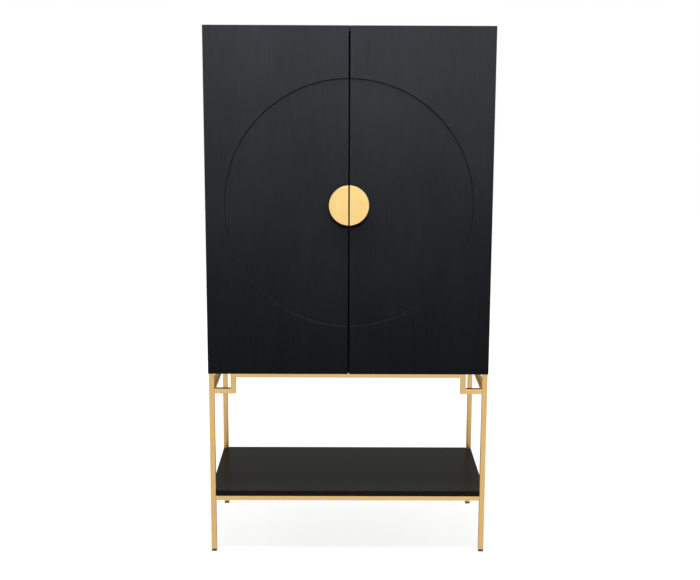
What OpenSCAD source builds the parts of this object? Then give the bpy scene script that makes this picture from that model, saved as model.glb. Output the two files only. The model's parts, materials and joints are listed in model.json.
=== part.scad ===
// Two-door bar cabinet on a thin metal stand, seen from the front along +Y.
// Origin: middle of the footprint, on the floor. +X to the right, +Z up.

/* [Cabinet] */
// Width of the box and of the stand
cab_w = 900; // [760:10:1100]
// Depth of the box and of the stand, without the doors
cab_d = 465; // [380:5:560]
// Height of the box
box_h = 1095; // [900:5:1300]
// Height of the stand, from the floor to the underside of the box
stand_h = 610; // [480:5:760]

/* [Box panels] */
// Thickness of the side, top and bottom panels
panel_t = 18; // [16:1:24]
// Thickness of the back panel
back_t = 6; // [4:1:9]
// Board left behind the back panel's groove
back_inset = 12; // [8:1:20]
// Depth of the groove that holds the back panel
groove_d = 6; // [4:0.5:8]
// Small chamfer on the outer edges of the boards
board_ease = 0.8; // [0.4:0.2:2]

/* [Inner shelves] */
// Thickness of the adjustable shelves
inner_shelf_t = 18; // [15:1:22]
// Distance from the front of the box to the front of the shelves
inner_shelf_setback = 25; // [20:1:60]
// Diameter of the shelf pins in their holes
pin_d = 5; // [4:0.5:6]
// Spacing of the rows of pin holes
pin_pitch = 32; // [25:1:40]
// Pin holes on each side of a shelf's own hole
pin_extra = 2; // [0:1:3]

/* [Doors] */
// Thickness of the doors
door_t = 18; // [16:1:24]
// Gap between the doors and the front edges of the box
door_gap = 2; // [2:0.1:3]
// Gap between the two doors
seam = 5; // [3:0.5:7]
// Small chamfer round the front of the doors
door_ease = 1; // [0.5:0.25:2]
// Distance of the round recess across both doors from the sides of the box, to the middle of its sloping edge
ring_in = 61; // [30:1:200]
// Width of the sloping edge of the round recess
ring_w = 3.5; // [1:0.5:8]
// Depth of the round recess
ring_depth = 5; // [1:0.5:6]
// Distance of the middle of the recess and of the handles below the middle of the doors
ring_drop = 1.5; // [0:0.5:10]

/* [Handles] */
// Diameter of the disc that the two handles make
handle_d = 125; // [100:1:180]
// Thickness of the handle plates
handle_t = 5; // [3:0.5:8]
// Distance from the face of the door to the outer face of a handle
handle_proj = 22; // [16:1:32]
// Gap between the two handles
handle_gap = 5; // [4:0.5:10]
// Diameter of the posts behind a handle
post_d = 12; // [10:0.5:16]
// Distance between the two posts of a handle
post_pitch = 58; // [40:1:70]

/* [Hinges] */
// Length of a hinge
hinge_l = 70; // [50:5:100]
// Distance from the end of a door to the middle of its outer hinges
hinge_inset = 120; // [80:5:200]
// Width of a hinge leaf
leaf_w = 15.5; // [13:0.5:16]
// Thickness of a hinge leaf
leaf_t = 1.5; // [1.2:0.1:1.8]
// Diameter of the hinge pins
hinge_pin_d = 2.5; // [2:0.1:2.6]
// Outer diameter of the hinge knuckles
knuckle_d = 4.8; // [4.4:0.1:5]
// Distance of the hinge axis in from the side of the box
axis_in = 0.3; // [0.2:0.05:0.6]
// Diameter of the hinge screws
leaf_screw_d = 3; // [2.5:0.25:3.5]

/* [Stand] */
// Side of the square tube of the legs, the top rails and the side rails
tube = 17; // [15:1:25]
// Wall of the tubes
tube_wall = 1.5; // [1:0.25:2]
// Outer corner radius of the tubes
tube_r = 2; // [1.8:0.1:3]
// Clear width of the key-shaped windows between a leg and the top rail
key_w = 53; // [30:1:80]
// Clear height of the key-shaped windows under the box
key_h = 54; // [30:1:80]
// Height of the rails under the lower shelf
low_rail_h = 15; // [10:1:25]
// Height of the underside of the rails under the lower shelf
low_rail_z = 177; // [120:1:260]
// Thickness of the lower shelf
low_shelf_t = 18; // [15:1:25]
// Height of the glide feet under the legs
foot_h = 8; // [5:0.5:12]

/* [Fasteners] */
// Diameter of the dowels in the box corners
dowel_d = 8; // [6:1:10]
// Length of the dowels
dowel_l = 34; // [28:1:36]
// Diameter of the cams in the top and bottom panels
cam_d = 15; // [14:0.5:16]
// Distance from a cam to the end of its panel
cam_in = 34; // [28:1:40]
// Diameter of the screws that hold the box on the stand
box_screw_d = 5; // [4:0.5:6]
// Diameter of the screws that hold the lower shelf
shelf_screw_d = 4; // [3:0.5:5]
// Diameter of the handle screws
handle_screw_d = 4; // [3:0.5:5]

/* [Hidden] */
$fn = 96;

// Small overlap that keeps a cut clear of the face it starts from
eps = 0.01;
// Gap kept between pieces that move past each other
clear = 0.3;

black = "#26282a";
black_inside = "#303234";
gold = "#dcb06b";
steel = "#b9bcc0";
birch = "#c9ab7c";
plastic = "#1c1c1c";

// Places in depth: the handles are at the front of the footprint, the back of the box at the rear
all_d = handle_proj + door_t + door_gap + cab_d;
rear_y = all_d / 2;
front_y = rear_y - cab_d;
door_back_y = front_y - door_gap;
door_front_y = door_back_y - door_t;
handle_front_y = door_front_y - handle_proj;
half_w = cab_w / 2;

// Heights
box_z = stand_h;
top_z = stand_h + box_h;
door_mid_z = box_z + box_h / 2;
ring_z = door_mid_z - ring_drop;
floor_z = box_z + panel_t;
ceiling_z = top_z - panel_t;
inside_half_w = half_w - panel_t;

// Back panel
groove_slack = 0.4;
groove_end_slack = 0.5;
back_y = rear_y - back_inset - back_t - groove_slack;

// Inner shelves: three equal bays
bay_h = (ceiling_z - floor_z - 2 * inner_shelf_t) / 3;
shelf_low_z = floor_z + bay_h;
shelf_high_z = shelf_low_z + inner_shelf_t + bay_h;
shelf_end_gap = 1;
inner_shelf_y = front_y + inner_shelf_setback;
shelf_back_gap = 2;
inner_shelf_d = back_y - shelf_back_gap - inner_shelf_y;
pin_row_in = 37;
pin_collar_over = 2;
pin_rest_over = 1.5;
pin_rows = [front_y + inner_shelf_setback + pin_row_in, back_y - pin_row_in];
pin_hole_depth = 11;
pin_in_hole = 10;
pin_rest_d = pin_d + pin_rest_over;
pin_rest_l = 9;
pin_collar_d = pin_rest_d + pin_collar_over;
pin_collar_t = 0.7;

// Corner joints of the box: dowels and cams share rows across the depth
dowel_in_side = 11;
dowel_end_gap = 1;
dowel_front_in = 32;
dowel_rear_in = 60;
cam_from_dowel = 38;
dowel_rows = [front_y + dowel_front_in, rear_y - dowel_rear_in];
cam_rows = [front_y + dowel_front_in + cam_from_dowel, rear_y - dowel_rear_in - cam_from_dowel];
cam_depth = 12.5;
cam_bolt_d = 6;
cam_bolt_bore = 8;
cam_bolt_head_d = 7;
cam_bolt_head_l = 4;
cam_thread_d = 5;
cam_thread_l = 11;
cam_neck_slack = 0.4;
cam_slot_w = 1.6;
cam_slot_d = 2;

// Hinges: one pin axis at each side, in the gap between the doors and the box
axis_x = half_w - axis_in;
axis_y = front_y - door_gap / 2;
hinge_zs = [box_z + hinge_inset, door_mid_z, top_z - hinge_inset];
knuckles = 5;
knuckle_step = hinge_l / knuckles;
leaf_gap = clear;
pin_running = 0.05;
knuckle_clear = 0.35;
leaf_slack = 0.2;
leaf_screw_rows = [-0.36, 0, 0.36];
leaf_screw_stagger = 1.5;
leaf_screw_l = 15;
leaf_screw_head_d = 2 * leaf_screw_d + 0.4;
leaf_screw_x = leaf_w / 2 + 1;
pin_head_d = 4;
pin_head_t = 1;

// Door catches, one for each door, under the top panel
catch_x = 8;
catch_w = 46;
catch_d = 16;
catch_h = 13;
catch_set = 0.5;
magnet_w = 36;
magnet_h = 6;
magnet_d = 13;
strike_w = 42;
strike_h = 12;
strike_t = 1.2;
magnet_front_y = door_back_y + strike_t + clear;
catch_wall = 2;

// Bumpers that the doors close on, on the front edges of the top and bottom panels
bumper_d = 9;
bumper_t = door_gap - clear;
bumper_x = 90;

// Round recess: the handles stand in it
recess_r = half_w - ring_in;
recess_y = door_front_y + ring_depth;

// Handles
half_handle_r = handle_d / 2;
handle_ease = 0.8;
post_x = 24;
post_l = handle_proj - handle_t + ring_depth;
handle_screw_grip = 10;
handle_screw_head_d = 2 * handle_screw_d;
handle_screw_head_t = 2.4;
handle_hole_slack = 0.5;

// Cross recesses of the screws, as shares of the diameter of a head
cross_l = 0.5;
cross_w = 0.13;
cross_depth = 1.1;

// Stand
leg_z = foot_h;
tube_r_min = 0.2;
key_x = half_w - tube - key_w;
step_z = stand_h - key_h - tube;
low_shelf_z = low_rail_z + low_rail_h;
notch_slack = 0.5;
screw_head_t = 2.4;
screw_rows = [-0.33, 0, 0.33];
hole_slack = 0.4;
head_slack = 0.6;
box_screw_grip = 13;
shelf_screw_grip = 12;
foot_flange = 1.5;
foot_ease = 0.6;
foot_inset = 0.3;
foot_spigot = 14;
foot_spigot_wall = 2;

// Rounded rectangle centred on the origin
module rounded_rect(w, h, r) {
    square([w - 2 * r, h], center = true);
    square([w, h - 2 * r], center = true);
    for (x = [-1, 1], y = [-1, 1])
        translate([x * (w / 2 - r), y * (h / 2 - r)])
            circle(r, $fn = 32);
}

// Section of a rectangular tube
module tube_section(w, h) {
    difference() {
        rounded_rect(w, h, tube_r);
        rounded_rect(w - 2 * tube_wall, h - 2 * tube_wall, max(tube_r - tube_wall, tube_r_min));
    }
}

// Tubes that start at the origin and run along X, Y or Z, centred on their axis
module tube_x(l, d, h) {
    rotate([90, 0, 90])
        linear_extrude(l)
            tube_section(d, h);
}

module tube_y(l, w, h) {
    translate([0, l, 0])
        rotate([90, 0, 0])
            linear_extrude(l)
                tube_section(w, h);
}

module tube_z(l) {
    linear_extrude(l)
        tube_section(tube, tube);
}

// The same piece on the right-hand side
module right_side() {
    mirror([1, 0, 0])
        children();
}

// Board of width w centred on X, depth d along +Y and thickness t along +Z, its long edges eased
module eased_board(w, d, t, ease) {
    intersection() {
        translate([-w / 2, d, 0])
            rotate([90, 0, 0])
                linear_extrude(d)
                    polygon([[ease, 0], [w - ease, 0], [w, ease], [w, t - ease], [w - ease, t],
                        [ease, t], [0, t - ease], [0, ease]]);
        translate([-w / 2, 0, 0])
            rotate([90, 0, 90])
                linear_extrude(w)
                    polygon([[ease, 0], [d - ease, 0], [d, ease], [d, t - ease], [d - ease, t],
                        [ease, t], [0, t - ease], [0, ease]]);
    }
}

module rod_x(d, l) {
    rotate([0, 90, 0])
        cylinder(d = d, h = l);
}

module rod_y(d, l) {
    rotate([-90, 0, 0])
        cylinder(d = d, h = l);
}

// Plain board of the left side, its outer edges eased at the top, the bottom and the rear
module side_blank() {
    intersection() {
        translate([-half_w, front_y, box_z])
            linear_extrude(box_h)
                polygon([[0, 0], [panel_t, 0], [panel_t, cab_d], [board_ease, cab_d],
                    [0, cab_d - board_ease]]);
        translate([-half_w, rear_y, box_z])
            rotate([90, 0, 0])
                linear_extrude(cab_d)
                    polygon([[board_ease, 0], [panel_t, 0], [panel_t, box_h], [board_ease, box_h],
                        [0, box_h - board_ease], [0, board_ease]]);
    }
}

// Side panel on the left: groove, dowel, cam, pin and hinge holes are cut from the plain board
module side_board() {
    difference() {
        side_blank();
        translate([-inside_half_w - groove_d, back_y, floor_z - groove_d])
            cube([groove_d + eps, back_t + groove_slack, ceiling_z - floor_z + 2 * groove_d]);
        for (z = [box_z + panel_t / 2, top_z - panel_t / 2]) {
            for (y = dowel_rows)
                translate([-inside_half_w - dowel_in_side, y, z])
                    rod_x(dowel_d, dowel_in_side + eps);
            for (y = cam_rows)
                translate([-inside_half_w - cam_thread_l, y, z])
                    rod_x(cam_thread_d, cam_thread_l + eps);
        }
        for (z = [shelf_low_z, shelf_high_z], y = pin_rows, i = [-pin_extra : pin_extra])
            translate([-inside_half_w - pin_hole_depth, y, z - pin_rest_d / 2 + i * pin_pitch])
                rod_x(pin_d, pin_hole_depth + eps);
        for (z = hinge_zs)
            translate([-axis_x, axis_y, z]) {
                leaf_seat(1);
                leaf_screw_holes(1);
            }
    }
}

// Top or bottom panel, with its inner face upward at z = 0 and its outer face below
module flat_board() {
    difference() {
        translate([-inside_half_w, front_y, -panel_t])
            cube([2 * inside_half_w, cab_d, panel_t]);
        translate([-inside_half_w - eps, back_y, -groove_d])
            cube([2 * (inside_half_w + eps), back_t + groove_slack, groove_d + eps]);
        for (side = [-1, 1]) {
            for (y = dowel_rows)
                translate([side * (inside_half_w + eps), y, -panel_t / 2])
                    rotate([0, -side * 90, 0])
                        cylinder(d = dowel_d, h = dowel_l - dowel_in_side + dowel_end_gap + eps);
            for (y = cam_rows) {
                translate([side * (inside_half_w + eps), y, -panel_t / 2])
                    rotate([0, -side * 90, 0])
                        cylinder(d = cam_bolt_bore, h = cam_in);
                translate([side * (inside_half_w - cam_in), y, -cam_depth])
                    cylinder(d = cam_d, h = cam_depth + eps);
            }
        }
    }
}

module left_side_panel() {
    color(black)
        side_board();
}

module right_side_panel() {
    color(black)
        right_side()
            side_board();
}

module top_panel() {
    color(black)
        translate([0, 0, ceiling_z])
            mirror([0, 0, 1])
                flat_board();
}

module bottom_panel() {
    color(black)
        difference() {
            translate([0, 0, floor_z])
                flat_board();
            for (x = screw_rows, y = [front_y + tube / 2, rear_y - tube / 2])
                translate([x * cab_w, y, box_z - eps])
                    cylinder(d = box_screw_d, h = box_screw_grip + eps);
        }
}

module back_panel() {
    reach = groove_d - groove_end_slack;
    color(black_inside)
        translate([-inside_half_w - reach, back_y + groove_slack / 2, floor_z - reach])
            cube([2 * (inside_half_w + reach), back_t, ceiling_z - floor_z + 2 * reach]);
}

module inner_shelf_at(z) {
    color(black_inside)
        translate([0, inner_shelf_y, z])
            eased_board(2 * (inside_half_w - shelf_end_gap), inner_shelf_d, inner_shelf_t, board_ease);
}

module upper_inner_shelf() {
    inner_shelf_at(shelf_high_z);
}

module lower_inner_shelf() {
    inner_shelf_at(shelf_low_z);
}

// A turned pin: shank in the side panel, collar against it, and a rest under the shelf
module shelf_pin() {
    rotate([0, 90, 0])
        rotate_extrude()
            polygon([[0, -pin_in_hole], [pin_d / 2, -pin_in_hole], [pin_d / 2, 0],
                [pin_collar_d / 2, 0], [pin_collar_d / 2, pin_collar_t],
                [pin_rest_d / 2, pin_collar_t], [pin_rest_d / 2, pin_rest_l], [0, pin_rest_l]]);
}

module shelf_pins() {
    color(steel)
        for (side = [0, 1], z = [shelf_low_z, shelf_high_z], y = pin_rows)
            mirror([side, 0, 0])
                translate([-inside_half_w, y, z - pin_rest_d / 2])
                    shelf_pin();
}

module corner_dowels() {
    color(birch)
        for (side = [0, 1], z = [box_z + panel_t / 2, top_z - panel_t / 2], y = dowel_rows)
            mirror([side, 0, 0])
                translate([-inside_half_w - dowel_in_side, y, z])
                    rod_x(dowel_d, dowel_l);
}

// Bolt screwed into a side panel, with its head inside the cam
module cam_bolt() {
    translate([-cam_thread_l, 0, 0])
        rod_x(cam_thread_d, cam_thread_l + eps);
    rod_x(cam_bolt_d, cam_in - cam_bolt_head_l + eps);
    translate([cam_in - cam_bolt_head_l, 0, 0])
        rod_x(cam_bolt_head_d, cam_bolt_head_l);
}

module cam_bolts() {
    color(steel)
        for (side = [0, 1], z = [box_z + panel_t / 2, top_z - panel_t / 2], y = cam_rows)
            mirror([side, 0, 0])
                translate([-inside_half_w, y, z])
                    cam_bolt();
}

// Cam with its face at z = 0. The bolt's head goes in at the front, and its neck holds in the slot
// at the side once the cam is turned.
module cam_disc() {
    pocket_l = cam_bolt_head_l + 2 * cam_neck_slack;
    difference() {
        translate([0, 0, -cam_depth])
            cylinder(d = cam_d, h = cam_depth);
        translate([-cam_bolt_head_l - cam_neck_slack, 0, -panel_t / 2])
            rod_x(cam_bolt_bore, pocket_l);
        translate([-cam_d / 2 - eps, 0, -panel_t / 2])
            rod_x(cam_bolt_d + cam_neck_slack, cam_d / 2);
        translate([0, -cam_d / 2 - eps, -panel_t / 2])
            rod_y(cam_bolt_bore, cam_d / 2);
        translate([-cam_d / 4, -cam_slot_w / 2, -cam_slot_d])
            cube([cam_d / 2, cam_slot_w, cam_slot_d + eps]);
    }
}

module cam_discs() {
    color(steel)
        for (side = [0, 1], y = cam_rows) {
            mirror([side, 0, 0]) {
                translate([-inside_half_w + cam_in, y, floor_z])
                    cam_disc();
                translate([-inside_half_w + cam_in, y, ceiling_z])
                    mirror([0, 0, 1])
                        cam_disc();
            }
        }
}

// Housing of a magnetic catch on the left, screwed under the top panel behind the seam
module catch_housing() {
    difference() {
        translate([-catch_x - catch_w, front_y + catch_set, ceiling_z - catch_h])
            cube([catch_w, catch_d, catch_h]);
        translate([-catch_x - (catch_w + magnet_w) / 2, front_y, ceiling_z - (catch_h + magnet_h) / 2])
            cube([magnet_w, magnet_front_y + magnet_d - front_y, magnet_h]);
    }
}

module catch_housings() {
    color(plastic)
        for (side = [0, 1])
            mirror([side, 0, 0])
                catch_housing();
}

module catch_magnets() {
    color(steel)
        for (side = [0, 1])
            mirror([side, 0, 0])
                translate([-catch_x - (catch_w + magnet_w) / 2, magnet_front_y,
                    ceiling_z - (catch_h + magnet_h) / 2])
                    cube([magnet_w, magnet_d, magnet_h]);
}

module door_bumpers() {
    color(plastic)
        for (side = [-1, 1], z = [box_z + panel_t / 2, top_z - panel_t / 2])
            translate([side * bumper_x, front_y - bumper_t, z])
                rod_y(bumper_d, bumper_t);
}

// Hinge pieces on the left are drawn round the pin axis. face is 1 for the leaf on the box, which
// lies behind the axis, and -1 for the leaf on the door, which lies in front of it.

// Room cut in the wood for one leaf and for the knuckles of the whole hinge
module leaf_seat(face) {
    seat_l = hinge_l + 2 * leaf_slack;
    round_l = hinge_l + 2 * (pin_head_t + clear);
    translate([0, 0, -round_l / 2])
        cylinder(d = knuckle_d + 2 * knuckle_clear, h = round_l, $fn = 48);
    translate([-axis_in - eps, face > 0 ? 0 : -leaf_gap / 2 - leaf_t, -seat_l / 2])
        cube([axis_in + eps + leaf_w + leaf_slack, leaf_gap / 2 + leaf_t, seat_l]);
}

// Places of the screws of one leaf
module leaf_screw_spots() {
    for (i = [0 : 2])
        translate([leaf_screw_x + (i == 1 ? leaf_screw_stagger : -leaf_screw_stagger), 0,
            leaf_screw_rows[i] * hinge_l])
            children();
}

module leaf_screw_holes(face) {
    leaf_screw_spots()
        scale_face(face)
            translate([0, leaf_gap / 2, 0])
                rod_y(leaf_screw_d, leaf_screw_l);
}

// Turns a piece drawn behind the axis to the front of it
module scale_face(face) {
    mirror([0, face > 0 ? 0 : 1, 0])
        children();
}

// Cross recess in the head of a screw, from y = 0 along +Y
module cross_recess(head_d) {
    for (turn = [0, 90])
        rotate([0, turn, 0])
            translate([-head_d * cross_l / 2, -eps, -head_d * cross_w / 2])
                cube([head_d * cross_l, cross_depth + eps, head_d * cross_w]);
}

// Outline of a countersunk screw, its head flush with the leaf
module leaf_screw_form() {
    rotate([-90, 0, 0])
        rotate_extrude($fn = 32)
            polygon([[0, 0], [leaf_screw_head_d / 2, 0], [leaf_screw_d / 2, leaf_t],
                [leaf_screw_d / 2, leaf_screw_l], [0, leaf_screw_l]]);
}

module leaf_screw() {
    difference() {
        leaf_screw_form();
        cross_recess(leaf_screw_head_d);
    }
}

// Knuckles own the steps of one parity, so the two leaves mesh along the pin
module knuckle_run(first, d, grow) {
    for (k = [first : 2 : knuckles - 1])
        translate([0, 0, -hinge_l / 2 + k * knuckle_step - grow])
            cylinder(d = d, h = knuckle_step + 2 * grow, $fn = 48);
}

module leaf(face) {
    own = face > 0 ? 0 : 1;
    bore = face > 0 ? hinge_pin_d : hinge_pin_d + 2 * pin_running;
    difference() {
        union() {
            translate([0, face > 0 ? leaf_gap / 2 : -leaf_gap / 2 - leaf_t, -hinge_l / 2])
                cube([leaf_w, leaf_t, hinge_l]);
            knuckle_run(own, knuckle_d, -leaf_gap / 2);
        }
        knuckle_run(1 - own, knuckle_d + 2 * knuckle_clear, leaf_gap / 2);
        translate([0, 0, -hinge_l])
            cylinder(d = bore, h = 2 * hinge_l, $fn = 48);
        leaf_screw_spots()
            scale_face(face)
                translate([0, leaf_gap / 2, 0])
                    leaf_screw_form();
    }
}

// Pieces of one kind at each of the three hinges of the left door
module at_hinges() {
    for (z = hinge_zs)
        translate([-axis_x, axis_y, z])
            children();
}

module hinge_pin() {
    translate([0, 0, -hinge_l / 2])
        cylinder(d = hinge_pin_d, h = hinge_l, $fn = 48);
    for (end = [-1, 1])
        translate([0, 0, end * (hinge_l / 2 + pin_head_t / 2 - eps) - pin_head_t / 2])
            cylinder(d = pin_head_d, h = pin_head_t, $fn = 48);
}

module screws_of(face) {
    leaf_screw_spots()
        scale_face(face)
            translate([0, leaf_gap / 2, 0])
                leaf_screw();
}

module left_frame_leaves() {
    color(gold) at_hinges() leaf(1);
}

module right_frame_leaves() {
    color(gold) right_side() at_hinges() leaf(1);
}

module left_hinge_pins() {
    color(steel) at_hinges() hinge_pin();
}

module right_hinge_pins() {
    color(steel) right_side() at_hinges() hinge_pin();
}

module left_frame_leaf_screws() {
    color(steel) at_hinges() screws_of(1);
}

module right_frame_leaf_screws() {
    color(steel) right_side() at_hinges() screws_of(1);
}

module left_door_leaves() {
    color(gold) at_hinges() leaf(-1);
}

module right_door_leaves() {
    color(gold) right_side() at_hinges() leaf(-1);
}

module left_door_leaf_screws() {
    color(steel) at_hinges() screws_of(-1);
}

module right_door_leaf_screws() {
    color(steel) right_side() at_hinges() screws_of(-1);
}

// Door board with a small chamfer round its front face
module door_blank() {
    w = half_w - seam / 2;
    intersection() {
        translate([-half_w, door_front_y, box_z])
            linear_extrude(box_h)
                polygon([[0, door_ease], [door_ease, 0], [w - door_ease, 0], [w, door_ease],
                    [w, door_t], [0, door_t]]);
        translate([-half_w, door_front_y, box_z])
            rotate([90, 0, 90])
                linear_extrude(w)
                    polygon([[door_ease, 0], [door_t, 0], [door_t, box_h], [door_ease, box_h],
                        [0, box_h - door_ease], [0, door_ease]]);
    }
}

// Round recess with a sloping edge, cut into both doors about one middle
module round_recess() {
    translate([0, door_front_y, ring_z])
        rotate([90, 0, 0])
            rotate_extrude($fn = 180)
                polygon([[0, -ring_depth], [recess_r - ring_w / 2, -ring_depth], [recess_r + ring_w / 2, 0],
                    [recess_r + ring_w / 2, eps], [0, eps]]);
}

module handle_spots() {
    for (end = [-1, 1])
        translate([-post_x, 0, ring_z + end * post_pitch / 2])
            children();
}

module door_board() {
    difference() {
        door_blank();
        round_recess();
        handle_spots()
            translate([0, door_front_y - eps, 0])
                rod_y(handle_screw_d + handle_hole_slack, door_t + 2 * eps);
        at_hinges() {
            leaf_seat(-1);
            leaf_screw_holes(-1);
        }
    }
}

// Half disc with eased edges, on two posts that leave room for the fingers
module half_handle() {
    difference() {
        union() {
            intersection() {
                translate([0, handle_front_y, ring_z])
                    rotate([-90, 0, 0])
                        rotate_extrude($fn = 180)
                            polygon([[0, 0], [half_handle_r - handle_ease, 0], [half_handle_r, handle_ease],
                                [half_handle_r, handle_t], [0, handle_t]]);
                translate([-half_handle_r - handle_gap / 2, handle_front_y - eps,
                    ring_z - half_handle_r - eps])
                    cube([half_handle_r, handle_t + 2 * eps, handle_d + 2 * eps]);
            }
            handle_spots()
                translate([0, handle_front_y + handle_t - eps, 0])
                    rod_y(post_d, post_l + eps);
        }
        handle_spots()
            translate([0, recess_y - handle_screw_grip, 0])
                rod_y(handle_screw_d, handle_screw_grip + eps);
    }
}

module handle_screw_pair() {
    handle_spots()
        difference() {
            union() {
                translate([0, recess_y - handle_screw_grip, 0])
                    rod_y(handle_screw_d, handle_screw_grip + door_t - ring_depth + eps);
                translate([0, door_back_y, 0])
                    rod_y(handle_screw_head_d, handle_screw_head_t);
            }
            translate([0, door_back_y + handle_screw_head_t, 0])
                mirror([0, 1, 0])
                    cross_recess(handle_screw_head_d);
        }
}

module strike_plate() {
    translate([-catch_x - (catch_w + strike_w) / 2, door_back_y,
        ceiling_z - (catch_h + strike_h) / 2])
        cube([strike_w, strike_t, strike_h]);
}

module left_door() {
    color(black)
        door_board();
}

module right_door() {
    color(black)
        right_side()
            door_board();
}

module left_handle() {
    color(gold)
        half_handle();
}

module right_handle() {
    color(gold)
        right_side()
            half_handle();
}

module left_handle_screws() {
    color(steel)
        handle_screw_pair();
}

module right_handle_screws() {
    color(steel)
        right_side()
            handle_screw_pair();
}

module left_strike_plate() {
    color(steel)
        strike_plate();
}

module right_strike_plate() {
    color(steel)
        right_side()
            strike_plate();
}

// Stand pieces on the left. y is the front of the frame that a piece belongs to.
module leg_at(y) {
    translate([-half_w + tube / 2, y + tube / 2, leg_z])
        tube_z(stand_h - leg_z);
}

// Mitre cuts at a corner of the key pattern. keep is 1 for the tube above the cut, -1 for the one below.
module mitre_at(x, y, z, keep) {
    end = keep > 0 ? -eps : tube + eps;
    translate([x, y + tube + eps, z])
        rotate([90, 0, 0])
            linear_extrude(tube + 2 * eps)
                polygon([[0, tube], [end, tube], [end, end], [tube, end], [tube, 0]]);
}

module drop_at(y) {
    difference() {
        translate([-key_x + tube / 2, y + tube / 2, step_z])
            tube_z(stand_h - step_z);
        mitre_at(-key_x, y, step_z, 1);
        mitre_at(-key_x, y, stand_h - tube, -1);
    }
}

module step_at(y) {
    difference() {
        translate([-half_w + tube, y + tube / 2, step_z + tube / 2])
            tube_x(key_w + tube, tube, tube);
        mitre_at(-key_x, y, step_z, -1);
    }
}

// Holes in a rail of height h, from its top down: clearance for a screw in the upper wall, and a larger
// hole in the lower wall that its head goes in through
module rail_holes(d, h) {
    translate([0, 0, -h / 2])
        cylinder(d = d + hole_slack, h = h / 2 + eps);
    translate([0, 0, -h - eps])
        cylinder(d = 2 * d + head_slack, h = h / 2 + eps);
}

// Top rail mitred to the drops, with holes for the screws into the box
module top_rail_at(y) {
    difference() {
        translate([-key_x, y + tube / 2, stand_h - tube / 2])
            tube_x(2 * key_x, tube, tube);
        for (side = [0, 1])
            mirror([side, 0, 0])
                mitre_at(-key_x, y, stand_h - tube, 1);
        for (x = screw_rows)
            translate([x * cab_w, y + tube / 2, stand_h])
                rail_holes(box_screw_d, tube);
    }
}

module low_rail_at(y) {
    difference() {
        translate([-half_w + tube, y + tube / 2, low_rail_z + low_rail_h / 2])
            tube_x(cab_w - 2 * tube, tube, low_rail_h);
        for (x = screw_rows)
            translate([x * cab_w, y + tube / 2, low_shelf_z])
                rail_holes(shelf_screw_d, low_rail_h);
    }
}

module side_rail() {
    translate([-half_w + tube / 2, front_y + tube, step_z + tube / 2])
        tube_y(cab_d - 2 * tube, tube, tube);
}

module side_low_rail() {
    translate([-half_w + tube / 2, front_y + tube, low_rail_z + low_rail_h / 2])
        tube_y(cab_d - 2 * tube, tube, low_rail_h);
}

rear_frame_y = rear_y - tube;

module front_left_leg() {
    color(gold) leg_at(front_y);
}

module front_right_leg() {
    color(gold) right_side() leg_at(front_y);
}

module rear_left_leg() {
    color(gold) leg_at(rear_frame_y);
}

module rear_right_leg() {
    color(gold) right_side() leg_at(rear_frame_y);
}

module front_top_rail() {
    color(gold) top_rail_at(front_y);
}

module rear_top_rail() {
    color(gold) top_rail_at(rear_frame_y);
}

module front_left_drop() {
    color(gold) drop_at(front_y);
}

module front_right_drop() {
    color(gold) right_side() drop_at(front_y);
}

module rear_left_drop() {
    color(gold) drop_at(rear_frame_y);
}

module rear_right_drop() {
    color(gold) right_side() drop_at(rear_frame_y);
}

module front_left_step() {
    color(gold) step_at(front_y);
}

module front_right_step() {
    color(gold) right_side() step_at(front_y);
}

module rear_left_step() {
    color(gold) step_at(rear_frame_y);
}

module rear_right_step() {
    color(gold) right_side() step_at(rear_frame_y);
}

module left_side_rail() {
    color(gold) side_rail();
}

module right_side_rail() {
    color(gold) right_side() side_rail();
}

module front_low_rail() {
    color(gold) low_rail_at(front_y);
}

module rear_low_rail() {
    color(gold) low_rail_at(rear_frame_y);
}

module left_low_rail() {
    color(gold) side_low_rail();
}

module right_low_rail() {
    color(gold) right_side() side_low_rail();
}

// Shelf board notched round the four legs
module lower_shelf() {
    notch = tube + notch_slack;
    color(black)
        difference() {
            translate([0, front_y, low_shelf_z])
                eased_board(cab_w, cab_d, low_shelf_t, board_ease);
            for (x = [-half_w - eps, half_w - notch], y = [front_y - eps, rear_y - notch])
                translate([x, y, low_shelf_z - eps])
                    cube([notch + eps, notch + eps, low_shelf_t + 2 * eps]);
            for (x = screw_rows, y = [front_y + tube / 2, rear_frame_y + tube / 2])
                translate([x * cab_w, y, low_shelf_z - eps])
                    cylinder(d = shelf_screw_d, h = shelf_screw_grip + eps);
        }
}

// Screw up into a board, its head inside the rail against the rail's upper wall
module rail_screw(d, l) {
    translate([0, 0, -screw_head_t])
        cylinder(d = 2 * d, h = screw_head_t);
    cylinder(d = d, h = l);
}

module lower_shelf_screws() {
    color(steel)
        for (x = screw_rows, y = [front_y + tube / 2, rear_frame_y + tube / 2])
            translate([x * cab_w, y, low_shelf_z - tube_wall])
                rail_screw(shelf_screw_d, tube_wall + shelf_screw_grip);
}

module box_screws() {
    color(steel)
        for (x = screw_rows, y = [front_y + tube / 2, rear_frame_y + tube / 2])
            translate([x * cab_w, y, stand_h - tube_wall])
                rail_screw(box_screw_d, tube_wall + box_screw_grip);
}

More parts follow.
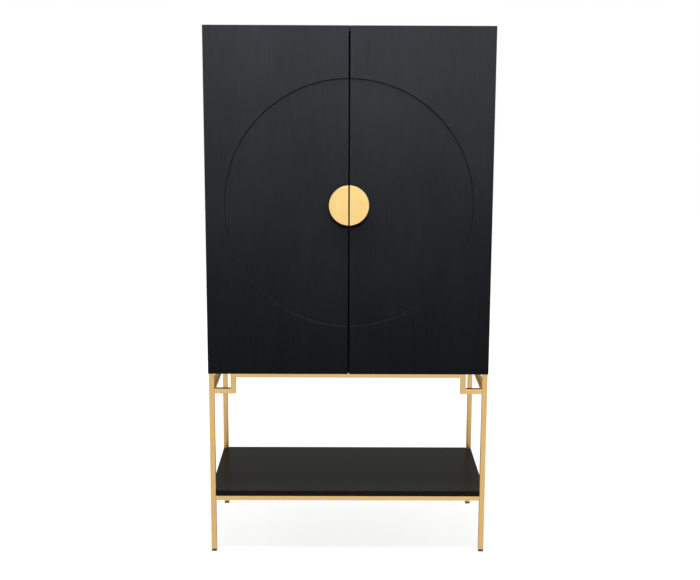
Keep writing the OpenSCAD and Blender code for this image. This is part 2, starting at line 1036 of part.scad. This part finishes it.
// Push-in glide: square foot with a smaller sole, flange under the tube and a hollow spigot inside it
module glide_foot() {
    inner = tube - 2 * tube_wall;
    foot = tube - 2 * foot_inset;
    sole = foot - 2 * foot_ease;
    linear_extrude(foot_ease + eps)
        rounded_rect(sole, sole, tube_r);
    translate([0, 0, foot_ease])
        linear_extrude(foot_h - foot_flange - foot_ease)
            rounded_rect(foot, foot, tube_r);
    translate([0, 0, foot_h - foot_flange - eps])
        linear_extrude(foot_flange + eps)
            rounded_rect(tube, tube, tube_r);
    translate([0, 0, foot_h - eps])
        linear_extrude(foot_spigot + eps)
            difference() {
                rounded_rect(inner, inner, max(tube_r - tube_wall, tube_r_min));
                square(inner - 2 * foot_spigot_wall, center = true);
            }
}

module glide_feet() {
    color(plastic)
        for (x = [-1, 1], y = [front_y + tube / 2, rear_frame_y + tube / 2])
            translate([x * (half_w - tube / 2), y, 0])
                glide_foot();
}

left_side_panel();
right_side_panel();
top_panel();
bottom_panel();
back_panel();
upper_inner_shelf();
lower_inner_shelf();
shelf_pins();
corner_dowels();
cam_bolts();
cam_discs();
catch_housings();
catch_magnets();
door_bumpers();
left_frame_leaves();
right_frame_leaves();
left_hinge_pins();
right_hinge_pins();
left_frame_leaf_screws();
right_frame_leaf_screws();
front_left_leg();
front_right_leg();
rear_left_leg();
rear_right_leg();
front_top_rail();
rear_top_rail();
front_left_drop();
front_right_drop();
rear_left_drop();
rear_right_drop();
front_left_step();
front_right_step();
rear_left_step();
rear_right_step();
left_side_rail();
right_side_rail();
front_low_rail();
rear_low_rail();
left_low_rail();
right_low_rail();
lower_shelf();
lower_shelf_screws();
box_screws();
glide_feet();
left_door();
left_handle();
left_handle_screws();
left_door_leaves();
left_door_leaf_screws();
left_strike_plate();
right_door();
right_handle();
right_handle_screws();
right_door_leaves();
right_door_leaf_screws();
right_strike_plate();
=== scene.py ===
"""Looks of the two-door bar cabinet: materials, camera and studio."""
import json
import math

import bpy
from mathutils import Matrix, Vector

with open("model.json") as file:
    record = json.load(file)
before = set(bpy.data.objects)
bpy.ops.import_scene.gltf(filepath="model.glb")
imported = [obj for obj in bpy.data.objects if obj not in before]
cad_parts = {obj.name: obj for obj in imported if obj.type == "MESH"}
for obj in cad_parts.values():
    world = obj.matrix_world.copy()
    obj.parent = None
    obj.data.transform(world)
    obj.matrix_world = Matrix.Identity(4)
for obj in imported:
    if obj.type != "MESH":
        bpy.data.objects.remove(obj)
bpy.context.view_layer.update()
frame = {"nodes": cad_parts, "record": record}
nodes = frame["nodes"]

# The camera, fitted to the photo's edges. Pixels, metres and degrees.
IMAGE_W = 700.0
FOCAL_PX = 1231.81
CAMERA_AT = (-0.01659, -4.06501, 1.60590)
CAMERA_PITCH = 10.6492
CAMERA_YAW = 0.3122
CAMERA_ROLL = 0.243
SENSOR_W_MM = 36.0
CLIP_END = 100.0

# The floor. Its glow rises from GLOW_NEAR to GLOW_FAR between GLOW_FROM and GLOW_TO, which are
# metres from the cabinet's middle.
FLOOR_HALF = 9.0
FLOOR_Z = -0.0005
FLOOR_GREY = (0.45, 0.45, 0.45)
GLOW_NEAR, GLOW_FAR = 0.87, 1.0
GLOW_FROM, GLOW_TO = 0.8, 1.6
# How strongly the world lights the part. The camera sees it white.
WORLD_STRENGTH = 0.06
WORLD_TINT = (1.0, 0.98, 0.95)

WHITE = (1.0, 1.0, 1.0)
# The texture scale of a pattern that isn't stretched along any axis.
EVEN = (1.0, 1.0, 1.0)
# A face looks to the front where the y of its normal is below this.
FRONT_NORMAL_Y = -0.7


# ---------------------------------------------------------------- shader nodes
def rgba(color):
    return (*color, 1.0)


def fill(tree, node, inputs):
    """Sets a node's inputs, or links them where the value is another node's output."""
    for key, value in inputs.items():
        if isinstance(value, bpy.types.NodeSocket):
            tree.links.new(value, node.inputs[key])
        else:
            node.inputs[key].default_value = value
    return node


def make(tree, kind, inputs):
    return fill(tree, tree.nodes.new(kind), inputs)


def emptied_tree(owner):
    owner.use_nodes = True
    owner.node_tree.nodes.clear()
    return owner.node_tree


def math_node(tree, op, a, b):
    n = tree.nodes.new("ShaderNodeMath")
    n.operation = op
    return fill(tree, n, {0: a, 1: b}).outputs["Value"]


def weighted(tree, a, share_a, b, share_b):
    """The sum of two values, each times its share."""
    return math_node(tree, "ADD", math_node(tree, "MULTIPLY", a, share_a),
                     math_node(tree, "MULTIPLY", b, share_b))


def remap(tree, value, lo, hi, from_lo=0.3, from_hi=0.7):
    """The range from_lo to from_hi, in which most of a noise lies, onto lo to hi."""
    return make(tree, "ShaderNodeMapRange", {
        "From Min": from_lo, "From Max": from_hi, "To Min": lo, "To Max": hi, "Value": value,
    }).outputs["Result"]


def mix_color(tree, factor, a, b):
    n = tree.nodes.new("ShaderNodeMix")
    n.data_type = "RGBA"
    return fill(tree, n, {"A": a, "B": b, "Factor": factor}).outputs["Result"]


def stretched(axis, along, across):
    """A texture scale that is along on one axis and across on the other two."""
    return tuple(along if a == axis else across for a in "xyz")


def noise(tree, stretch, size, detail, roughness=0.55):
    coord = tree.nodes.new("ShaderNodeTexCoord")
    mapping = make(tree, "ShaderNodeMapping", {
        "Scale": stretch, "Vector": coord.outputs["Object"],
    })
    return make(tree, "ShaderNodeTexNoise", {
        "Scale": size, "Detail": detail, "Roughness": roughness,
        "Vector": mapping.outputs["Vector"],
    }).outputs["Fac"]


# ---------------------------------------------------------------- materials
def new_material(name):
    material = bpy.data.materials.new(name)
    tree = emptied_tree(material)
    out = tree.nodes.new("ShaderNodeOutputMaterial")
    bsdf = tree.nodes.new("ShaderNodeBsdfPrincipled")
    tree.links.new(bsdf.outputs["BSDF"], out.inputs["Surface"])
    return material, tree, bsdf


def coat(tree, bsdf, tone, dark, light, gloss, rough, relief, strength, distance):
    """Noises drive the colour (tone), the roughness (gloss) and the bump (relief, in metres)."""
    bump = make(tree, "ShaderNodeBump", {
        "Strength": strength, "Distance": distance, "Height": relief,
    })
    fill(tree, bsdf, {
        "Base Color": mix_color(tree, tone, rgba(dark), rgba(light)),
        "Roughness": remap(tree, gloss, *rough),
        "Normal": bump.outputs["Normal"],
    })


def lacquered_board(name, dark, light, grain, rough, specular):
    """Satin lacquer that fills a fine grain. grain is the axis that the grain runs along."""
    material, tree, bsdf = new_material(name)
    fine_stretch = stretched(grain, along=1.0, across=22.0)
    broad_stretch = stretched(grain, along=0.45, across=1.0)
    fine = noise(tree, fine_stretch, size=9.0, detail=6.0, roughness=0.62)
    broad = noise(tree, broad_stretch, size=5.0, detail=3.0)
    both = weighted(tree, fine, 0.55, broad, 0.45)
    tone = remap(tree, both, 0.0, 1.0, from_lo=0.36, from_hi=0.64)
    coat(tree, bsdf, tone, dark, light, both, rough, fine, strength=0.06, distance=0.0006)
    bsdf.inputs["Specular IOR Level"].default_value = specular
    return material


def front_band(material, color):
    """A band of another colour on the front edge of a board."""
    tree = material.node_tree
    base = tree.nodes["Principled BSDF"].inputs["Base Color"]
    coord = tree.nodes.new("ShaderNodeTexCoord")
    axes = make(tree, "ShaderNodeSeparateXYZ", {0: coord.outputs["Normal"]})
    front = math_node(tree, "LESS_THAN", axes.outputs["Y"], FRONT_NORMAL_Y)
    tree.links.new(mix_color(tree, front, base.links[0].from_socket, rgba(color)), base)


def satin_metal(name, dark, light, along, rough, metallic=1.0, edge=WHITE):
    """Metal with fine lines along one axis, or none. edge tints it at flat angles; a dark tint
    there is a painted reflection.
    """
    material, tree, bsdf = new_material(name)
    stretch = stretched(along, along=2.0, across=160.0) if along else (30.0, 30.0, 30.0)
    lines = noise(tree, stretch, size=6.0, detail=3.0)
    cloud = noise(tree, EVEN, size=14.0, detail=3.0)
    both = weighted(tree, lines, 0.6, cloud, 0.4)
    tone = remap(tree, both, 0.0, 1.0)
    coat(tree, bsdf, tone, dark, light, both, rough, lines, strength=0.05, distance=0.0002)
    bsdf.inputs["Metallic"].default_value = metallic
    bsdf.inputs["Specular Tint"].default_value = rgba(edge)
    return material


def moulded_plastic(name, dark, light):
    material, tree, bsdf = new_material(name)
    grit = noise(tree, EVEN, size=900.0, detail=2.0)
    cloud = noise(tree, EVEN, size=60.0, detail=2.0)
    tone = remap(tree, cloud, 0.0, 1.0)
    coat(tree, bsdf, tone, dark, light, grit, (0.45, 0.6), grit, strength=0.15, distance=0.0003)
    bsdf.inputs["Specular IOR Level"].default_value = 0.3
    return material


def bare_wood(name, dark, light):
    material, tree, bsdf = new_material(name)
    rings = noise(tree, stretched("x", along=4.0, across=60.0), size=8.0, detail=5.0)
    tone = remap(tree, rings, 0.0, 1.0)
    coat(tree, bsdf, tone, dark, light, rings, (0.5, 0.65), rings, strength=0.2, distance=0.0004)
    return material


# The dark and light ends of each colour's range are linear, as the shader takes them.
COOL_BLACK = ((0.0195, 0.0210, 0.0235), (0.0275, 0.0292, 0.0322))
BOARD_ROUGH = (0.48, 0.58)
BOARD_SPECULAR = 0.02
INSIDE_ROUGH = (0.5, 0.6)
INSIDE_SPECULAR = 0.2
door_finish = lacquered_board("satin_black_doors", *COOL_BLACK, "z", BOARD_ROUGH, BOARD_SPECULAR)
side_finish = lacquered_board("satin_black_sides", *COOL_BLACK, "z", BOARD_ROUGH, BOARD_SPECULAR)
flat_finish = lacquered_board(
    "satin_black_flats", (0.0238, 0.0234, 0.0198), (0.0324, 0.0318, 0.0272),
    "x", BOARD_ROUGH, BOARD_SPECULAR)
shelf_finish = lacquered_board(
    "satin_black_shelf", (0.0205, 0.0200, 0.0155), (0.0280, 0.0274, 0.0216),
    "x", (0.30, 0.36), 0.01)
# The lower shelf's front face is painted lighter than its top, as painted light in place of the
# lamp light it doesn't get under the box.
front_band(shelf_finish, (0.060, 0.050, 0.044))
glide_plastic = moulded_plastic("brown_glide", (0.35, 0.27, 0.145), (0.43, 0.335, 0.185))
inside_finish = lacquered_board(
    "dark_inside", (0.033, 0.034, 0.036), (0.044, 0.045, 0.047),
    "x", INSIDE_ROUGH, INSIDE_SPECULAR)
front_band(inside_finish, (0.005, 0.005, 0.005))
inside_back = lacquered_board(
    "dark_back", (0.032, 0.033, 0.035), (0.043, 0.044, 0.046),
    "z", INSIDE_ROUGH, INSIDE_SPECULAR)

# The tubes' dark tint at flat angles is a painted reflection: it stands in for what the photo's
# studio reflects there.
GOLD_ROUGH = (0.30, 0.40)
TUBE_METALLIC = 0.96
TUBE_PAINTED_REFLECTION = (0.25, 0.205, 0.16)
# The three tube golds are copies of one metal whose colours differ as painted light and shade; the
# copy along z, on the legs, is painted darker.
gold_x = satin_metal(
    "gold_along_x", (0.715, 0.462, 0.190), (0.815, 0.537, 0.230),
    "x", GOLD_ROUGH, TUBE_METALLIC, TUBE_PAINTED_REFLECTION)
gold_y = satin_metal(
    "gold_along_y", (0.690, 0.455, 0.200), (0.790, 0.530, 0.245),
    "y", GOLD_ROUGH, TUBE_METALLIC, TUBE_PAINTED_REFLECTION)
gold_z_painted_shade = satin_metal(
    "gold_along_z_painted_shade", (0.668, 0.425, 0.164), (0.760, 0.492, 0.200),
    "z", GOLD_ROUGH, TUBE_METALLIC, TUBE_PAINTED_REFLECTION)
gold_plate = satin_metal(
    "gold_handle", (0.795, 0.558, 0.213), (0.875, 0.618, 0.251), "z", GOLD_ROUGH)
hinge_brass = satin_metal(
    "hinge_brass", (0.60, 0.40, 0.16), (0.72, 0.49, 0.21), "z", (0.24, 0.34))
zinc = satin_metal("zinc_plated", (0.50, 0.51, 0.52), (0.62, 0.63, 0.65), None, (0.26, 0.38))
dull_magnet = satin_metal(
    "dull_magnet", (0.20, 0.20, 0.21), (0.27, 0.27, 0.28), None, (0.40, 0.50))
black_plastic = moulded_plastic("black_moulded", (0.012, 0.012, 0.012), (0.020, 0.020, 0.020))
beech = bare_wood("beech", (0.42, 0.27, 0.14), (0.56, 0.38, 0.21))

NODE_FINISH = {
    "left_door": door_finish,
    "right_door": door_finish,
    "left_side_panel": side_finish,
    "right_side_panel": side_finish,
    "lower_shelf": shelf_finish,
    "glide_feet": glide_plastic,
    "back_panel": inside_back,
    "left_side_rail": gold_y,
    "right_side_rail": gold_y,
    "left_low_rail": gold_y,
    "right_low_rail": gold_y,
}
SLOT_FINISH = {
    "black_board": flat_finish,
    "inside_board": inside_finish,
    "gold_handle": gold_plate,
    "hinge_brass": hinge_brass,
    "zinc_steel": zinc,
    "magnet_metal": dull_magnet,
    "beech": beech,
    "black_plastic": black_plastic,
}


def finish_for(name, slot):
    """A node's own finish, or a tube's by the way it runs, or its slot's."""
    if name in NODE_FINISH:
        return NODE_FINISH[name]
    if slot == "gold_tube":
        return gold_z_painted_shade if name.endswith(("_leg", "_drop")) else gold_x
    return SLOT_FINISH[slot]


for part in frame["record"]["subparts"]:
    materials = nodes[part["node"]].data.materials
    materials.clear()
    materials.append(finish_for(part["node"], part["material_slot"]))


# ---------------------------------------------------------------- camera
def add_object(name, data):
    ob = bpy.data.objects.new(name, data)
    bpy.context.scene.collection.objects.link(ob)
    return ob


pitch, yaw, roll = (math.radians(a) for a in (CAMERA_PITCH, CAMERA_YAW, CAMERA_ROLL))
ahead = Vector((
    math.sin(yaw) * math.cos(pitch), math.cos(yaw) * math.cos(pitch), -math.sin(pitch),
))
right = ahead.cross(Vector((0, 0, 1))).normalized()
up = right.cross(ahead)
right_rolled = right * math.cos(roll) + up * math.sin(roll)
up_rolled = up * math.cos(roll) - right * math.sin(roll)
cam_data = bpy.data.cameras.new("camera")
cam_data.sensor_width = SENSOR_W_MM
cam_data.lens = FOCAL_PX * SENSOR_W_MM / IMAGE_W
cam_data.clip_end = CLIP_END
cam = add_object("camera", cam_data)
cam.matrix_world = Matrix((
    (right_rolled.x, up_rolled.x, -ahead.x, CAMERA_AT[0]),
    (right_rolled.y, up_rolled.y, -ahead.y, CAMERA_AT[1]),
    (right_rolled.z, up_rolled.z, -ahead.z, CAMERA_AT[2]),
    (0, 0, 0, 1),
))
bpy.context.scene.camera = cam

# ---------------------------------------------------------------- studio
bpy.context.scene.view_settings.view_transform = "Standard"


def seen_by_camera(tree):
    """1 for the rays of the camera, and for what metal and glass show of the background."""
    path = tree.nodes.new("ShaderNodeLightPath")
    seen = math_node(tree, "MAXIMUM", path.outputs["Is Camera Ray"], path.outputs["Is Glossy Ray"])
    return math_node(tree, "MAXIMUM", seen, path.outputs["Is Transmission Ray"])


world = bpy.data.worlds.new("studio")
bpy.context.scene.world = world
world_tree = emptied_tree(world)
faint = make(world_tree, "ShaderNodeBackground", {
    "Color": rgba(WORLD_TINT), "Strength": WORLD_STRENGTH,
})
white = make(world_tree, "ShaderNodeBackground", {"Color": rgba(WHITE), "Strength": 1.0})
world_mix = make(world_tree, "ShaderNodeMixShader", {
    "Fac": seen_by_camera(world_tree),
    1: faint.outputs["Background"],
    2: white.outputs["Background"],
})
make(world_tree, "ShaderNodeOutputWorld", {"Surface": world_mix.outputs["Shader"]})

floor_mesh = bpy.data.meshes.new("floor")
floor_corners = [
    (x * FLOOR_HALF, y * FLOOR_HALF, FLOOR_Z) for x, y in ((-1, -1), (1, -1), (1, 1), (-1, 1))
]
floor_mesh.from_pydata(floor_corners, [], [(0, 1, 2, 3)])
floor = add_object("floor", floor_mesh)

# Near the cabinet the lamps' light fills the floor up to white, so that the shadow shows as a
# pale grey.
floor_material = bpy.data.materials.new("pale_floor")
floor_tree = emptied_tree(floor_material)
floor_coord = floor_tree.nodes.new("ShaderNodeTexCoord")
distance = floor_tree.nodes.new("ShaderNodeVectorMath")
distance.operation = "LENGTH"
fill(floor_tree, distance, {0: floor_coord.outputs["Object"]})
glow = remap(floor_tree, distance.outputs["Value"], GLOW_NEAR, GLOW_FAR, GLOW_FROM, GLOW_TO)
diffuse = make(floor_tree, "ShaderNodeBsdfDiffuse", {"Color": rgba(FLOOR_GREY)})
emission = make(floor_tree, "ShaderNodeEmission", {
    "Color": rgba(WHITE),
    "Strength": math_node(floor_tree, "MULTIPLY", glow, seen_by_camera(floor_tree)),
})
floor_sum = make(floor_tree, "ShaderNodeAddShader", {
    0: diffuse.outputs["BSDF"], 1: emission.outputs["Emission"],
})
make(floor_tree, "ShaderNodeOutputMaterial", {"Surface": floor_sum.outputs["Shader"]})
floor_mesh.materials.append(floor_material)


def area_light(name, at, target, size, power, color, spread=180.0):
    data = bpy.data.lights.new(name, "AREA")
    data.shape = "RECTANGLE"
    data.size, data.size_y = size
    data.energy = power
    data.spread = math.radians(spread)
    data.color = color
    ob = add_object(name, data)
    ob.location = at
    ob.rotation_euler = (Vector(target) - Vector(at)).to_track_quat("-Z", "Y").to_euler()
    return ob


SIDE_TARGET = (0.0, 0.05, 1.1)
SIDE_SIZE = (1.6, 2.4)
WARM = (1.0, 0.99, 0.98)
area_light("front_soft", (0.0, -2.20, 2.60), target=(0.0, -0.23, 1.84), size=(2.4, 1.0),
           power=14.4, color=(0.965, 0.985, 1.0), spread=50.0)
area_light("top_soft", (0.0, -0.85, 3.10), target=(0.0, -0.30, 1.00), size=(2.2, 0.4),
           power=11.5, color=(0.855, 0.935, 1.0), spread=120.0)
area_light("left_soft", (-3.4, 0.75, 2.2), SIDE_TARGET, SIDE_SIZE, power=26.0, color=WARM)
area_light("right_soft", (3.4, 0.75, 2.2), SIDE_TARGET, SIDE_SIZE, power=24.0, color=WARM)
back = area_light("back_soft", (0.0, 3.6, 2.3), target=(0.0, 0.0, 1.0), size=(2.4, 1.6),
                  power=30.0, color=WARM)
back.visible_glossy = False
